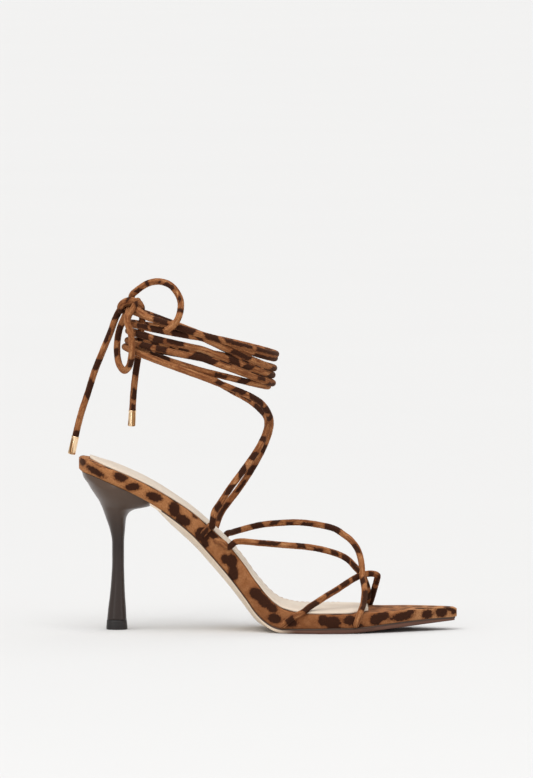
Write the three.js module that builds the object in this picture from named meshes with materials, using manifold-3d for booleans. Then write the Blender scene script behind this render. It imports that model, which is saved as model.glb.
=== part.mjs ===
// A right-foot heeled sandal with thin straps and long ties wound round the ankle, in millimetres.
// The toe points to +X, the medial side to +Y, up is +Z, and the floor is Z = 0.
import * as THREE from "three";
import { mergeVertices } from "three/addons/utils/BufferGeometryUtils.js";
import Module from "manifold-3d";

const wasm = await Module();
wasm.setup();

// Driving sizes of the sole
const SHOE_LENGTH = 227.4;
const HEEL_RISE = 94.2; // height of the sole's rim over the floor at the back
const TOE_SPRING = 5.7; // height of the sole's rim over the floor at the toe
const BALL_HALF_WIDTH = 38.5;
const SOLE_THICKNESS = 3.2; // tread to board at the ball
const SIDE_HEIGHT = 20.4; // upright height of the wrapped side where the waist is steepest
const CROWN_DROP = 5.5; // how far the rounded waist of the sole hangs below its rim
const SOLE_INSET = 0.9; // how far the sole's rim stands in from the board's side
const SOLE_BREAST = 46; // where the sole starts, measured from the back
const SOLE_END_GAP = 1.8; // the sole's front edge, measured back from the toe
const BOARD_END_GAP = 0.3; // the board's first and last sections, measured from the back and the toe
const SIDE_BELLY = 0.5; // how far the wrapped side swells outward at most
const FOOTBED_DOME = 0.8;
const SOCK_THICKNESS = 1.1;
const SOCK_INSET = 1.8;
const SOCK_START = 7;
const SOCK_END = 173.7;
const SOCK_END_PINCH = 9; // how far the sock's sides draw in at its ends
const SOCK_END_LENGTH = 14; // length over which they draw in

// Driving sizes of the heel
const HEEL_SEAT_LENGTH = 46;
const HEEL_SEAT_HALF_WIDTH = 26;
const HEEL_HEIGHT = 98; // tall enough to pass the board, which trims it
const HEEL_TIP_HEIGHT = 5.7;

// Driving sizes of the straps and ties
const STRAP_DIAMETER = 3.8;
const TIE_DIAMETER = 4;
const ANKLE_CENTRE_X = -39.3;
const ANKLE_HALF_LENGTH = 44.5;
const ANKLE_HALF_WIDTH = 30;
const KNOT_HEIGHT = 196;
const KNOT_SIZE = new THREE.Vector3(13, 11, 11);
const KNOT_CENTRE = new THREE.Vector3(-82, -9, KNOT_HEIGHT);
const LONG_TIP_LENGTH = 11;
const SHORT_TIP_LENGTH = 9.6;
const TIP_DIAMETER = 4.6;

const CLEARANCE = 0.3; // gap between pieces that touch
const SOLE_STEP = 9; // length between two even sections of the sole
const LEAST_STEP = 2.6; // a section closer than this to the one before is left out
const STRAP_STEP = 8; // length of one straight piece of a strap
const TIE_STEP = 12; // length of one straight piece of a tie
const CORD_SIDES = 8;
const SLOT_SIDES = 6;
const HEEL_SIDES = 24;
const PROFILE_REACH = 17; // how far in from each edge the sole's sections have points
const PROFILE_MIDDLE = 16; // the innermost point of a section, measured in from each edge

// Sections of the sole from back to toe. along: share of the length; rise and spring: shares of the
// rim's height at the back and at the toe; sole: share of the sole's thickness; side: share of the
// wrapped side's height; crown: share of the waist's drop; lateral and medial: shares of half the ball.
const SOLE_SECTIONS = [
  { along: 0.0012, rise: 1.017, spring: 0, sole: 0.4, side: 0.28, crown: 0, lateral: 0.12, medial: 0.12 },
  { along: 0.0055, rise: 1.009, spring: 0, sole: 0.4, side: 0.36, crown: 0, lateral: 0.24, medial: 0.24 },
  { along: 0.014, rise: 0.997, spring: 0, sole: 0.4, side: 0.42, crown: 0, lateral: 0.36, medial: 0.36 },
  { along: 0.03, rise: 0.986, spring: 0, sole: 0.4, side: 0.43, crown: 0, lateral: 0.48, medial: 0.48 },
  { along: 0.05, rise: 0.968, spring: 0, sole: 0.4, side: 0.42, crown: 0, lateral: 0.57, medial: 0.57 },
  { along: 0.1, rise: 0.917, spring: 0, sole: 0.4, side: 0.45, crown: 0, lateral: 0.67, medial: 0.66 },
  { along: 0.15, rise: 0.862, spring: 0, sole: 0.4, side: 0.465, crown: 0, lateral: 0.7, medial: 0.67 },
  { along: 0.2, rise: 0.794, spring: 0, sole: 0.4, side: 0.5, crown: 0.25, lateral: 0.68, medial: 0.605 },
  { along: 0.25, rise: 0.709, spring: 0, sole: 0.4, side: 0.555, crown: 0.85, lateral: 0.635, medial: 0.505 },
  { along: 0.3, rise: 0.607, spring: 0, sole: 0.4, side: 0.645, crown: 1, lateral: 0.575, medial: 0.445 },
  { along: 0.35, rise: 0.474, spring: 0, sole: 0.4, side: 0.78, crown: 1, lateral: 0.56, medial: 0.43 },
  { along: 0.4, rise: 0.332, spring: 0, sole: 0.42, side: 0.895, crown: 1, lateral: 0.59, medial: 0.46 },
  { along: 0.44, rise: 0.204, spring: 0, sole: 0.46, side: 0.93, crown: 1, lateral: 0.65, medial: 0.535 },
  { along: 0.47, rise: 0.103, spring: 0, sole: 0.51, side: 0.91, crown: 0.8, lateral: 0.715, medial: 0.615 },
  { along: 0.5, rise: 0.036, spring: 0, sole: 0.66, side: 0.79, crown: 0.35, lateral: 0.8, medial: 0.72 },
  { along: 0.52, rise: 0.01, spring: 0, sole: 0.76, side: 0.69, crown: 0.1, lateral: 0.845, medial: 0.765 },
  { along: 0.542, rise: 0, spring: 0, sole: 0.82, side: 0.59, crown: 0, lateral: 0.89, medial: 0.81 },
  { along: 0.584, rise: 0, spring: 0, sole: 0.88, side: 0.47, crown: 0, lateral: 0.955, medial: 0.915 },
  { along: 0.636, rise: 0, spring: 0, sole: 0.94, side: 0.43, crown: 0, lateral: 1, medial: 1.008 },
  { along: 0.7, rise: 0, spring: 0, sole: 1, side: 0.425, crown: 0, lateral: 0.985, medial: 0.97 },
  { along: 0.74, rise: 0, spring: 0.1, sole: 0.91, side: 0.43, crown: 0, lateral: 0.925, medial: 0.86 },
  { along: 0.8, rise: 0, spring: 0.33, sole: 0.91, side: 0.385, crown: 0, lateral: 0.775, medial: 0.655 },
  { along: 0.86, rise: 0, spring: 0.54, sole: 0.93, side: 0.355, crown: 0, lateral: 0.585, medial: 0.47 },
  { along: 0.92, rise: 0, spring: 0.76, sole: 0.82, side: 0.325, crown: 0, lateral: 0.375, medial: 0.285 },
  { along: 0.965, rise: 0, spring: 0.91, sole: 0.66, side: 0.3, crown: 0, lateral: 0.205, medial: 0.15 },
  { along: 0.987, rise: 0, spring: 0.98, sole: 0.56, side: 0.28, crown: 0, lateral: 0.12, medial: 0.09 },
  { along: 0.9985, rise: 0, spring: 1.05, sole: 0.6, side: 0.2, crown: 0, lateral: 0.06, medial: 0.045 },
];

// Sections of the heel upwards. height: share of its full height; back and front: shares of the seat's
// length, measured from the back of the shoe; half: share of half the seat's width.
const HEEL_SECTIONS = [
  { height: 0, back: 0.359, front: 0.639, half: 0.238 },
  { height: 0.058, back: 0.37, front: 0.625, half: 0.227 },
  { height: 0.13, back: 0.385, front: 0.618, half: 0.212 },
  { height: 0.2, back: 0.404, front: 0.607, half: 0.194 },
  { height: 0.3, back: 0.424, front: 0.598, half: 0.18 },
  { height: 0.42, back: 0.437, front: 0.593, half: 0.173 },
  { height: 0.535, back: 0.436, front: 0.594, half: 0.188 },
  { height: 0.607, back: 0.411, front: 0.605, half: 0.243 },
  { height: 0.68, back: 0.36, front: 0.62, half: 0.37 },
  { height: 0.717, back: 0.333, front: 0.66, half: 0.47 },
  { height: 0.74, back: 0.316, front: 0.74, half: 0.55 },
  { height: 0.758, back: 0.3, front: 0.93, half: 0.63 },
  { height: 0.79, back: 0.268, front: 1, half: 0.76 },
  { height: 0.83, back: 0.213, front: 1, half: 0.88 },
  { height: 0.865, back: 0.163, front: 1, half: 0.95 },
  { height: 0.9, back: 0.12, front: 1, half: 1 },
  { height: 0.94, back: 0.062, front: 1, half: 1 },
  { height: 1, back: 0.03, front: 1, half: 1 },
];

// Quarter turns of the two ties round the ankle: side, back, side, front and so on. height: share of
// the knot's height; out: how many tie diameters the cord lies outside the ring. The first tie starts
// along the far side, the second along the near side, and both end at the knot behind the ankle.
const FAR_FIRST_TURNS = [
  { height: 0.7745, out: 0 },
  { height: 0.866, out: -0.4 },
  { height: 0.8005, out: -0.4 },
  { height: 0.7464, out: -1.3 },
  { height: 0.8296, out: 0 },
  { height: 0.9158, out: 0 },
  { height: 0.8668, out: 0 },
  { height: 0.7801, out: -0.65 },
  { height: 0.8852, out: 0 },
  { height: 0.9821, out: -0.1 },
  { height: 0.9056, out: -0.4 },
  { height: 0.8321, out: -0.3 },
  { height: 0.8944, out: 0.2 },
  { height: 0.985, out: 0 },
];
const NEAR_FIRST_TURNS = [
  { height: 0.7837, out: 0.4 },
  { height: 0.8668, out: 0.5 },
  { height: 0.8219, out: 0.2 },
  { height: 0.7556, out: -0.6 },
  { height: 0.8398, out: 0.1 },
  { height: 0.8862, out: 0.1 },
  { height: 0.8439, out: 0.1 },
  { height: 0.8015, out: -0.4 },
  { height: 0.9015, out: 0.1 },
  { height: 0.9403, out: 0 },
  { height: 0.8923, out: 0.3 },
  { height: 0.8444, out: -0.1 },
  { height: 0.9117, out: 0.5 },
  { height: 0.985, out: 0.5 },
];
const TURN_POINTS = 6; // straight pieces in a quarter turn

// Where the straps and ties cross the edge of the board and where they enter it lower down. side: the
// far side is the medial one; top and low: shares of the shoe's length from the back; over: height over
// the board's edge at the top; deep: depth of the lower end; both are shares of the side's height.
const EDGE_CROSSINGS = {
  farWaistStart: { side: "far", top: 0.3892, low: 0.376, over: 0.12, deep: 1 },
  farWaistEnd: { side: "near", top: 0.7432, low: 0.73, over: 0.12, deep: 1 },
  nearWaistStart: { side: "near", top: 0.3958, low: 0.362, over: -0.05, deep: 0.3 },
  nearWaistEnd: { side: "far", top: 0.7586, low: 0.7564, over: 0.12, deep: 1 },
  nearBallStart: { side: "near", top: 0.5937, low: 0.5321, over: 0.12, deep: 1 },
  nearBallEnd: { side: "far", top: 0.7696, low: 0.7718, over: 0.12, deep: 1 },
  nearTieStart: { side: "near", top: 0.349, low: 0.329, over: 0.12, deep: 0.55 },
  farTieStart: { side: "far", top: 0.3628, low: 0.343, over: 0.12, deep: 1 },
};

// Routes of the straps and ties, chosen by hand: [x, y, z]
const FAR_WAIST_STRAP = [
  [-21.4, 22.2, 56.7], [-16.9, 26, 57.8], [-4.8, 26.7, 60.8], [7.2, 23, 62.3], [19.3, 16, 63.1],
  [31.3, 9.2, 62], [40.3, 5.6, 59.9], [46.3, 3.3, 56.1], [49.3, 1.8, 53.9], [53.4, -1.5, 48.9],
  [55.8, -7, 41.9], [56.6, -12.6, 33], [57.8, -20, 25.1], [57, -28, 17.6],
];
const NEAR_WAIST_STRAP = [
  [-19.1, -24.4, 54.3], [-4.8, -23.6, 53.6], [9.6, -20, 52.1], [24, -16, 50.6], [33.6, -13, 48.6],
  [43.2, -10.5, 45.4], [48, -10, 42.6], [51.8, -10, 38.7], [56.8, -9, 32.7], [60, 1, 23.4],
  [60.2, 13, 17.2], [59.6, 24, 14],
];
const NEAR_BALL_STRAP = [
  [24.3, -34.5, 15.7], [29.3, -30, 18.6], [35, -25, 21.9], [41, -20, 25.1], [46.4, -16, 28.4],
  [52.2, -12.4, 31.7], [57, -10.2, 33.6], [62.4, -9, 34.1], [65.6, -7.5, 33], [65.3, -4.5, 30],
  [64.2, 2, 25.2], [62.8, 11, 19.2], [61.6, 22, 14.4],
];
const NEAR_RISER = [
  [-33.6, -22.6, 63.2], [-32, -24, 72.2], [-28.1, -25.4, 78.3], [-23, -25.6, 86.1], [-15.1, -23, 96.7],
  [-7.5, -17, 107.1], [-4.3, -13, 112.3], [-1.8, -8, 117.3], [-0.3, -2, 122.4], [-0.9, 5, 127.4],
  [-4.5, 11.5, 131.5], [-9.3, 17, 135.4], [-14.4, 21.5, 138.4], [-19.9, 25, 141.1],
];
const FAR_RISER = [
  [-30.2, 19.6, 64], [-28, 23.6, 68.9], [-23.8, 26, 74.7], [-17.8, 27, 82.5], [-10.5, 24.5, 93.6],
  [-4.4, 17, 104.9], [-1.9, 13, 110.6], [0.1, 8, 116.3], [1.4, 2, 122.1], [1.2, -4.5, 127.3],
  [-0.9, -10.5, 132.5], [-4.2, -15.5, 136.9], [-9, -20, 140.4], [-14.3, -23.5, 143.2],
  [-19.4, -26, 145.4],
];
const TOP_LOOP = [
  [-82, -9, 196], [-81.4, -10.5, 201.3], [-79.1, -12, 203.7], [-71.9, -15, 208.6],
  [-64.7, -18.5, 209.9], [-57.8, -22.5, 207.5], [-52.7, -27, 200.4], [-52.1, -30.5, 194.4],
  [-54.2, -34.6, 187.5], [-57.7, -34.9, 183.3], [-60.8, -34.6, 181.4],
];
const HANGING_LOOP = [
  [-82, -9, 196], [-86.2, -9.6, 187.6], [-89.2, -6.4, 179.7], [-90.4, -5, 171.8], [-90.3, -5.4, 165.2],
  [-89, -8.2, 159.5], [-86, -13.2, 156.3], [-83, -18.6, 159.4], [-81.7, -21.4, 164.9],
  [-81.3, -21.8, 171.5], [-82, -20.6, 179.2], [-84.3, -18.2, 186.4], [-82, -9, 196],
];
const LONG_END = [
  [-82, -9, 196], [-87.5, -5.5, 193.6], [-91, -4.8, 188], [-94.2, -4.2, 179.3], [-99.3, -3, 166.9],
  [-103.9, -1.5, 155.4], [-108.1, -0.5, 142.1], [-111.7, 0, 131.3], [-114.2, 0, 122],
  [-115.6, 0, 115.9],
];
const SHORT_END = [
  [-82, -9, 196], [-77.4, -6, 196.6], [-75.4, -4, 190], [-76.4, -3, 177], [-77.8, -3, 164.4],
  [-79.3, -3, 154.5], [-80.6, -3, 142.9], [-81.3, -3, 131.8],
];

// Values of a table at one place, on smooth curves that never overshoot their rows
function rowAt(table, place, key) {
  const last = table.length - 2;
  let i = table.findIndex((row, n) => n === last || place <= table[n + 1][key]);
  const row = { [key]: place };
  const span = table[i + 1][key] - table[i][key];
  const t = Math.min(Math.max((place - table[i][key]) / span, 0), 1);
  for (const name of Object.keys(table[0])) {
    if (name === key) continue;
    const slope = (n) => {
      const before = table[Math.max(n - 1, 0)];
      const at = table[n];
      const after = table[Math.min(n + 1, table.length - 1)];
      const left = n > 0 ? (at[name] - before[name]) / (at[key] - before[key]) : 0;
      const right = n <= last ? (after[name] - at[name]) / (after[key] - at[key]) : 0;
      if (n === 0) return right;
      if (n > last) return left;
      return left * right <= 0 ? 0 : (2 * left * right) / (left + right);
    };
    const a = table[i][name];
    const b = table[i + 1][name];
    const m0 = slope(i) * span;
    const m1 = slope(i + 1) * span;
    row[name] = a + m0 * t + (3 * (b - a) - 2 * m0 - m1) * t ** 2 + (2 * (a - b) + m0 + m1) * t ** 3;
  }
  return row;
}

// The sole's real sizes at a distance from the back of the shoe
function soleAt(distance) {
  const row = rowAt(SOLE_SECTIONS, distance / SHOE_LENGTH, "along");
  const tread = HEEL_RISE * row.rise + TOE_SPRING * row.spring;
  const low = tread + SOLE_THICKNESS * row.sole;
  return {
    x: distance - SHOE_LENGTH / 2,
    tread,
    low,
    top: low + SIDE_HEIGHT * row.side,
    crown: CROWN_DROP * row.crown,
    lateral: -BALL_HALF_WIDTH * row.lateral,
    medial: BALL_HALF_WIDTH * row.medial,
  };
}

// A closed solid through rings of points, each ring counter-clockwise seen against the direction of travel
function solidThrough(rings) {
  const count = rings[0].length;
  const positions = rings.flat(2);
  const faces = [];
  for (let r = 0; r < rings.length - 1; r++)
    for (let i = 0; i < count; i++) {
      const j = (i + 1) % count;
      const [a, b] = [r * count + i, r * count + j];
      faces.push(a, b, b + count, a, b + count, a + count);
    }
  for (const [ring, flip] of [[0, true], [rings.length - 1, false]]) {
    const centre = positions.length / 3;
    positions.push(...[0, 1, 2].map((k) => rings[ring].reduce((sum, p) => sum + p[k], 0) / count));
    for (let i = 0; i < count; i++) {
      const [a, b] = [ring * count + i, ring * count + ((i + 1) % count)];
      faces.push(...(flip ? [b, a, centre] : [a, b, centre]));
    }
  }
  const made = manifoldOf(positions, faces);
  return made.volume() < 0 ? manifoldOf(positions, faces.reverse()) : made;
}

// A solid from a list of coordinates and a list of corner numbers, three for each face
function manifoldOf(positions, faces) {
  return new wasm.Manifold(
    new wasm.Mesh({
      numProp: 3,
      vertProperties: new Float32Array(positions),
      triVerts: new Uint32Array(faces),
    }),
  );
}

// A solid from a closed geometry, its shared corners merged
function solidFromGeometry(geometry) {
  geometry.deleteAttribute("normal");
  geometry.deleteAttribute("uv");
  const merged = mergeVertices(geometry, 1e-4);
  return manifoldOf(merged.attributes.position.array, merged.index.array);
}

// Distances from the back at which a piece of the sole is cut into sections
function stations(from, to) {
  const rows = SOLE_SECTIONS.map((row) => row.along * SHOE_LENGTH);
  const even = Array.from({ length: Math.floor(SHOE_LENGTH / SOLE_STEP) }, (_, i) => (i + 1) * SOLE_STEP);
  const margin = 0.3 * LEAST_STEP;
  const inside = [...rows, ...even].filter((d) => d > from + margin && d < to - margin);
  inside.sort((a, b) => a - b);
  return [from, ...inside.filter((d, i) => i === 0 || d - inside[i - 1] > LEAST_STEP), to];
}

// One upright section from profile points [distance in from the edge, height], narrowed where the shoe is
function section(at, inset, profile) {
  const lateral = at.lateral + inset;
  const medial = at.medial - inset;
  const scale = Math.min((medial - lateral) / (2 * PROFILE_REACH), 1);
  const left = profile.map(([offset, height]) => [at.x, lateral + offset * scale, height]);
  const right = profile.map(([offset, height]) => [at.x, medial - offset * scale, height]);
  return [...left, ...right.reverse()];
}

// The board under the whole foot with its upright wrapped side
function boardSolid() {
  const rings = stations(BOARD_END_GAP, SHOE_LENGTH - BOARD_END_GAP).map((distance) => {
    const at = soleAt(distance);
    const side = at.top - at.low;
    const belly = Math.min(SIDE_BELLY, 0.05 * side);
    return section(at, SIDE_BELLY, [
      [PROFILE_MIDDLE, at.top + 0.8 * FOOTBED_DOME],
      [7, at.top + 0.35 * FOOTBED_DOME],
      [1.6, at.top],
      [0.4, at.top - 0.08 * side],
      [-belly, at.top - 0.25 * side],
      [-belly, at.low + 0.35 * side],
      [0.2, at.low + 0.12 * side],
      [1.4, at.low],
      [PROFILE_MIDDLE, at.low],
    ]);
  });
  return solidThrough(rings);
}

// The thin sole under the waist and the forefoot
function outsoleSolid() {
  const rings = stations(SOLE_BREAST, SHOE_LENGTH - SOLE_END_GAP).map((distance) => {
    const at = soleAt(distance);
    const ceiling = at.low - CLEARANCE;
    const width = at.medial - at.lateral - 2 * SOLE_INSET;
    const floor = (offset) => [offset, at.tread - at.crown * 4 * (offset / width) * (1 - offset / width)];
    return section(at, SOLE_INSET, [
      [PROFILE_MIDDLE, ceiling],
      [0.3, ceiling],
      [0, at.tread + 0.45 * (ceiling - at.tread)],
      [0.3, at.tread + 0.1],
      ...[1.2, 4, 8, PROFILE_MIDDLE].map(floor),
    ]);
  });
  return solidThrough(rings);
}

// The sock that lies on the board, thin and rounded at its rim
function sockSolid() {
  const rings = stations(SOCK_START, SOCK_END).map((distance) => {
    const at = soleAt(distance);
    const ends = Math.min(distance - SOCK_START, SOCK_END - distance);
    const pinch = SOCK_END_PINCH * (1 - Math.min(ends / SOCK_END_LENGTH, 1)) ** 2;
    const base = at.top + FOOTBED_DOME + CLEARANCE;
    return section(at, SOCK_INSET + pinch, [
      [14, base + SOCK_THICKNESS],
      [5, base + 0.9 * SOCK_THICKNESS],
      [1.2, base + 0.62 * SOCK_THICKNESS],
      [0, base + 0.2 * SOCK_THICKNESS],
      [0.5, base - 0.6 * FOOTBED_DOME],
      [5, base - 0.5 * FOOTBED_DOME],
      [14, base],
    ]);
  });
  return solidThrough(rings);
}

// Everything above the heel's seat, with the gap that keeps the heel clear of the board
function boardTrim() {
  const reach = 2 * HEEL_SEAT_HALF_WIDTH;
  const high = 2 * HEEL_HEIGHT;
  const rings = stations(-0.025 * SHOE_LENGTH, SOLE_BREAST + 0.05 * SHOE_LENGTH).map((distance) => {
    const low = soleAt(Math.max(distance, 0)).low - CLEARANCE;
    const x = distance - SHOE_LENGTH / 2;
    return [[x, -reach, low], [x, reach, low], [x, reach, high], [x, -reach, high]];
  });
  return solidThrough(rings);
}

// The heel's section at a height: a rounded shape between its back and front
function heelRing(height) {
  const row = rowAt(HEEL_SECTIONS, height / HEEL_HEIGHT, "height");
  const back = row.back * HEEL_SEAT_LENGTH - SHOE_LENGTH / 2;
  const front = row.front * HEEL_SEAT_LENGTH - SHOE_LENGTH / 2;
  const half = row.half * HEEL_SEAT_HALF_WIDTH;
  const round = (value) => Math.sign(value) * Math.abs(value) ** 0.8;
  return Array.from({ length: HEEL_SIDES }, (_, i) => {
    const angle = (2 * Math.PI * i) / HEEL_SIDES;
    const along = (front + back) / 2 + ((front - back) / 2) * round(Math.cos(angle));
    return [along, half * round(Math.sin(angle)), height];
  });
}

// The heel's seat seen from above, a little inside the board's outline
function seatOutline() {
  const shape = new THREE.Shape();
  const rows = stations(0.014 * SHOE_LENGTH, SOLE_BREAST - CLEARANCE).map((distance) => soleAt(distance));
  rows.forEach((at, i) => shape[i ? "lineTo" : "moveTo"](at.x, at.lateral + SOLE_INSET));
  rows.toReversed().forEach((at) => shape.lineTo(at.x, at.medial - SOLE_INSET));
  return new THREE.ExtrudeGeometry(shape, { depth: HEEL_HEIGHT + 2, bevelEnabled: false });
}

// The stiletto heel with its flare, trimmed by the board above and by the seat's outline
function heelSolid() {
  const start = HEEL_TIP_HEIGHT + CLEARANCE;
  const rows = HEEL_SECTIONS.map((row) => row.height * HEEL_HEIGHT);
  const heights = [start, ...rows.filter((height) => height > start + 1)];
  const outline = solidFromGeometry(seatOutline());
  return solidThrough(heights.map(heelRing)).subtract(boardTrim()).intersect(outline);
}

// The heel's walking surface
function heelTipSolid() {
  return solidThrough([0, HEEL_TIP_HEIGHT].map(heelRing));
}

// Points that take a cord over the edge of the board, down its side and into it near its lower edge
function anchor({ side, top, low, over, deep }) {
  const point = (share, drop, outward) => {
    const here = soleAt((top + share * (low - top)) * SHOE_LENGTH);
    const across = side === "near" ? here.lateral - outward : here.medial + outward;
    const foot = here.low + 0.5 * TIE_DIAMETER + CLEARANCE;
    return [here.x, across, Math.max(here.top - drop * (here.top - here.low), foot)];
  };
  const [edge, outside] = [point(0, -over, -0.4), point(0.5, 0.35 * deep, 0.5)];
  return [edge, outside, point(0.9, 0.8 * deep, -0.3), point(1, deep, -5)];
}

// The smooth line of a cord through its points
function cordCurve(points) {
  return new THREE.CatmullRomCurve3(points.map((p) => new THREE.Vector3(...p)), false, "centripetal");
}

// A round cord along its points, in straight pieces about one step long
function cordSolid(points, diameter, step, sides = CORD_SIDES) {
  const curve = cordCurve(points);
  const corners = Array.from({ length: sides }, (_, i) => (2 * Math.PI * i) / sides);
  const radius = diameter / 2;
  const rim = corners.map((angle) => new THREE.Vector2(radius * Math.cos(angle), radius * Math.sin(angle)));
  const ring = new THREE.Shape(rim);
  const steps = Math.ceil(curve.getLength() / step);
  const tube = new THREE.ExtrudeGeometry(ring, { steps, bevelEnabled: false, extrudePath: curve });
  return solidFromGeometry(tube);
}

// The first quarters of one tie's turns round the ankle, from its side on, each straight in the side
// view; direction is +1 when the first quarter runs along the far side
function turns(table, direction, quarters) {
  return Array.from({ length: quarters * TURN_POINTS + 1 }, (_, n) => {
    const place = n / TURN_POINTS;
    const quarter = Math.min(Math.floor(place), table.length - 2);
    const part = ((place - quarter) * Math.PI) / 2;
    const eased = quarter % 2 ? 1 - Math.cos(part) : Math.sin(part);
    const [from, to] = [table[quarter], table[quarter + 1]];
    const between = (name) => from[name] + eased * (to[name] - from[name]);
    const angle = ((1 + place) * Math.PI) / 2;
    const out = between("out") * TIE_DIAMETER;
    return [
      ANKLE_CENTRE_X + (ANKLE_HALF_LENGTH + out) * Math.cos(angle),
      direction * (ANKLE_HALF_WIDTH + out) * Math.sin(angle),
      between("height") * KNOT_HEIGHT,
    ];
  });
}

// The knot as one rounded solid, grown by an extra all round
function knotSolid(extra) {
  const ball = new THREE.SphereGeometry(0.5, 16, 10);
  ball.scale(KNOT_SIZE.x + 2 * extra, KNOT_SIZE.y + 2 * extra, KNOT_SIZE.z + 2 * extra);
  ball.translate(...KNOT_CENTRE.toArray());
  return solidFromGeometry(ball);
}

// The main body of a solid that a cut left in pieces
const largest = (solid) => solid.decompose().sort((a, b) => b.volume() - a.volume())[0];

// The straps over the foot: two from the waist and one from the ball, joined where they cross
function strapRoutes() {
  const at = EDGE_CROSSINGS;
  return [
    [...anchor(at.farWaistStart).reverse(), ...FAR_WAIST_STRAP, ...anchor(at.farWaistEnd)],
    [...anchor(at.nearWaistStart).reverse(), ...NEAR_WAIST_STRAP, ...anchor(at.nearWaistEnd)],
    [...anchor(at.nearBallStart).reverse(), ...NEAR_BALL_STRAP, ...anchor(at.nearBallEnd)],
  ];
}

// The two ties: up from the board's edges, round the ankle and into the knot
function tieRoutes() {
  const knot = KNOT_CENTRE.toArray();
  const nearRiser = [...anchor(EDGE_CROSSINGS.nearTieStart).reverse(), ...NEAR_RISER];
  const farRiser = [...anchor(EDGE_CROSSINGS.farTieStart).reverse(), ...FAR_RISER];
  return [
    [...nearRiser, ...turns(FAR_FIRST_TURNS, 1, 13), knot],
    [...farRiser, ...turns(NEAR_FIRST_TURNS, -1, 12.5), knot],
  ];
}

// All the pieces as one solid
const joined = (pieces) => pieces.reduce((whole, piece) => whole.add(piece));

// The room that a strap or tie needs where it passes into the sole, flat-sided round the cord
function slotSolid(route, diameter, step) {
  const across = (diameter + 2 * CLEARANCE) / Math.cos(Math.PI / SLOT_SIDES);
  const ball = new THREE.SphereGeometry(0.6 * across, SLOT_SIDES, 4).translate(...route[0]);
  return cordSolid(route, across, step, SLOT_SIDES).add(solidFromGeometry(ball));
}

// A metal tip that carries on from the end of a cord
function tipSolid(route, length) {
  const curve = cordCurve(route);
  const direction = curve.getTangent(1).normalize();
  const radius = TIP_DIAMETER / 2;
  const outline = [
    [0, 0], [radius - 0.3, 0], [radius, 0.3], [radius, length - 0.5], [radius - 0.5, length], [0, length],
  ].map(([x, y]) => new THREE.Vector2(x, y));
  const barrel = new THREE.LatheGeometry(outline, 16);
  const turn = new THREE.Quaternion().setFromUnitVectors(new THREE.Vector3(0, 1, 0), direction);
  const start = new THREE.Vector3(...route.at(-1)).addScaledVector(direction, CLEARANCE);
  barrel.applyMatrix4(new THREE.Matrix4().compose(start, turn, new THREE.Vector3(1, 1, 1)));
  return solidFromGeometry(barrel);
}

const sandal = new THREE.Group();

// Adds one named piece of the sandal with its own material
function addPiece(name, solid, colour, roughness, metalness = 0) {
  const mesh = solid.getMesh();
  const geometry = new THREE.BufferGeometry()
    .setAttribute("position", new THREE.BufferAttribute(mesh.vertProperties, 3))
    .setIndex(new THREE.BufferAttribute(mesh.triVerts, 1));
  geometry.computeVertexNormals();
  const material = new THREE.MeshStandardMaterial({ color: colour, roughness, metalness });
  const piece = new THREE.Mesh(geometry, material);
  piece.name = name;
  sandal.add(piece);
}

const straps = joined(strapRoutes().map((route) => cordSolid(route, STRAP_DIAMETER, STRAP_STEP)));
const ties = joined(tieRoutes().map((route) => cordSolid(route, TIE_DIAMETER, TIE_STEP)));
const slots = joined([
  ...strapRoutes().map((route) => slotSolid(route, STRAP_DIAMETER, STRAP_STEP)),
  ...strapRoutes().map((route) => slotSolid(route.toReversed(), STRAP_DIAMETER, STRAP_STEP)),
  ...tieRoutes().map((route) => slotSolid(route, TIE_DIAMETER, TIE_STEP)),
]);
const slotted = (solid) => largest(solid.subtract(slots));
const knotRoom = knotSolid(CLEARANCE);
const fromKnot = (route) => largest(cordSolid(route, TIE_DIAMETER, TIE_STEP).subtract(knotRoom));

addPiece("outsole", slotted(outsoleSolid()), 0xcdb79d, 0.6);
addPiece("wrapped_board", slotted(boardSolid()), 0xa8683a, 0.85);
addPiece("insole_sock", slotted(sockSolid()), 0xe6d8c4, 0.6);
addPiece("heel", heelSolid(), 0x463b38, 0.35);
addPiece("heel_tip", heelTipSolid(), 0x2e2725, 0.5);
addPiece("upper_straps", straps, 0x9c6038, 0.85);
addPiece("ankle_ties", largest(ties.subtract(knotRoom)), 0x9c6038, 0.85);
addPiece("knot", knotSolid(0), 0x9c6038, 0.85);
addPiece("bow_loop_top", fromKnot(TOP_LOOP), 0x9c6038, 0.85);
addPiece("bow_loop_hanging", fromKnot(HANGING_LOOP), 0x9c6038, 0.85);
addPiece("tie_end_long", fromKnot(LONG_END), 0x9c6038, 0.85);
addPiece("tie_end_short", fromKnot(SHORT_END), 0x9c6038, 0.85);
addPiece("tie_tip_long", tipSolid(LONG_END, LONG_TIP_LENGTH), 0xd9b98a, 0.25, 1);
addPiece("tie_tip_short", tipSolid(SHORT_END, SHORT_TIP_LENGTH), 0xd9b98a, 0.25, 1);

export default sandal;
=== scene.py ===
"""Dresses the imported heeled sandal: cords, straps, wrapped sole and heel with procedural materials."""
import math
import random

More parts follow.
